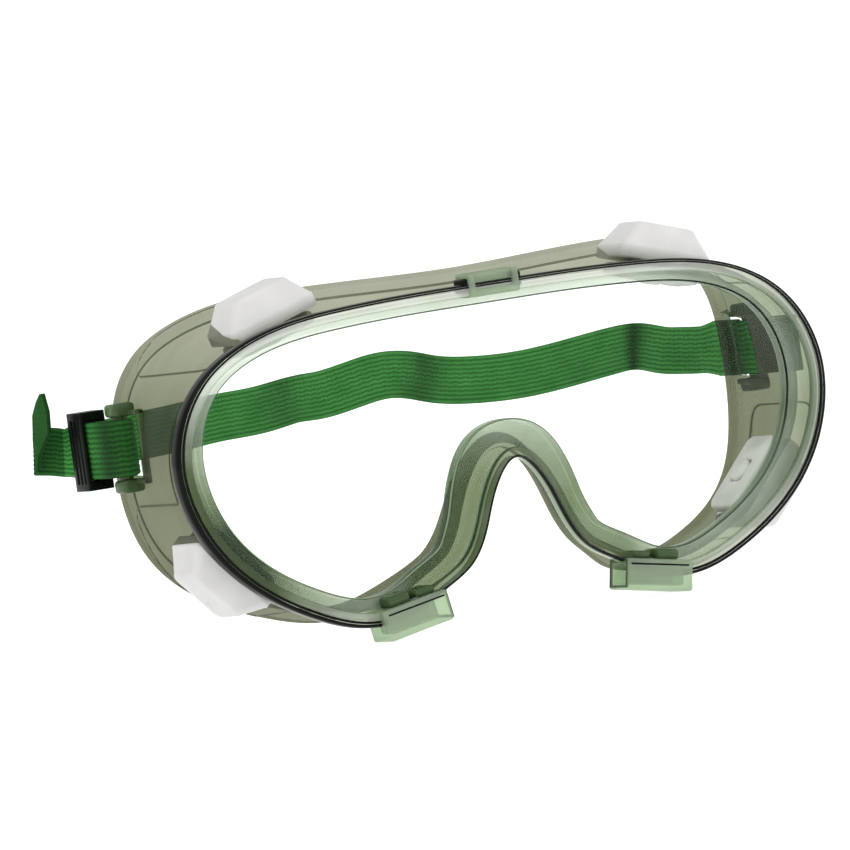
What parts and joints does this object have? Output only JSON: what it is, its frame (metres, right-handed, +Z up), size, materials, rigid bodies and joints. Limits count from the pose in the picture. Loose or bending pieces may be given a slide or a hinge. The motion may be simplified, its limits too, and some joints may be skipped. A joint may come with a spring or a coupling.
{
  "type": "safety goggles",
  "caption": "Wide-view safety goggles with a soft translucent frame, clear lens with nose notch, capped side vents and an elastic head strap with a slide adjuster.",
  "frame": {"origin": "on the middle plane, at the lens, level with the middle of the front rim", "axes": "+X across the face towards the wearer's left, -Y forward out of the lens, +Z up"},
  "size_m": [0.1769, 0.0635, 0.0851],
  "materials": {
    "soft_frame": "smooth translucent soft vinyl",
    "clear_lens": "polished clear polycarbonate",
    "vent_plastic": "satin white",
    "strap_elastic": "ribbed woven elastic",
    "thread": "twisted sewing thread",
    "adjuster_plastic": "moulded dark green"
  },
  "bodies": {
    "frame": {"goggle_frame": "soft_frame", "lens": "clear_lens", "vent_cap_upper_left": "vent_plastic", "vent_cap_upper_right": "vent_plastic", "vent_cap_lower_left": "vent_plastic", "vent_cap_lower_right": "vent_plastic", "vent_seat_upper_left": "vent_plastic", "vent_seat_upper_right": "vent_plastic", "vent_seat_lower_left": "vent_plastic", "vent_seat_lower_right": "vent_plastic", "strap_end_right": "strap_elastic", "hem_stitching": "thread", "strap_loop_left": "strap_elastic"},
    "strap": {"strap_main": "strap_elastic"},
    "slide": {"adjuster": "adjuster_plastic"}
  },
  "joints": [
    {"name": "strap_swing", "type": "hinge", "parent": "frame", "child": "strap", "pos_m": [0, 0.048, 0.01], "axis": [1, 0, 0], "range_deg": [-75, 75]},
    {"name": "adjuster_slide", "type": "slide", "parent": "frame", "child": "slide", "axis": [0, 1, 0], "range_m": [0, 0.004]}
  ]
}
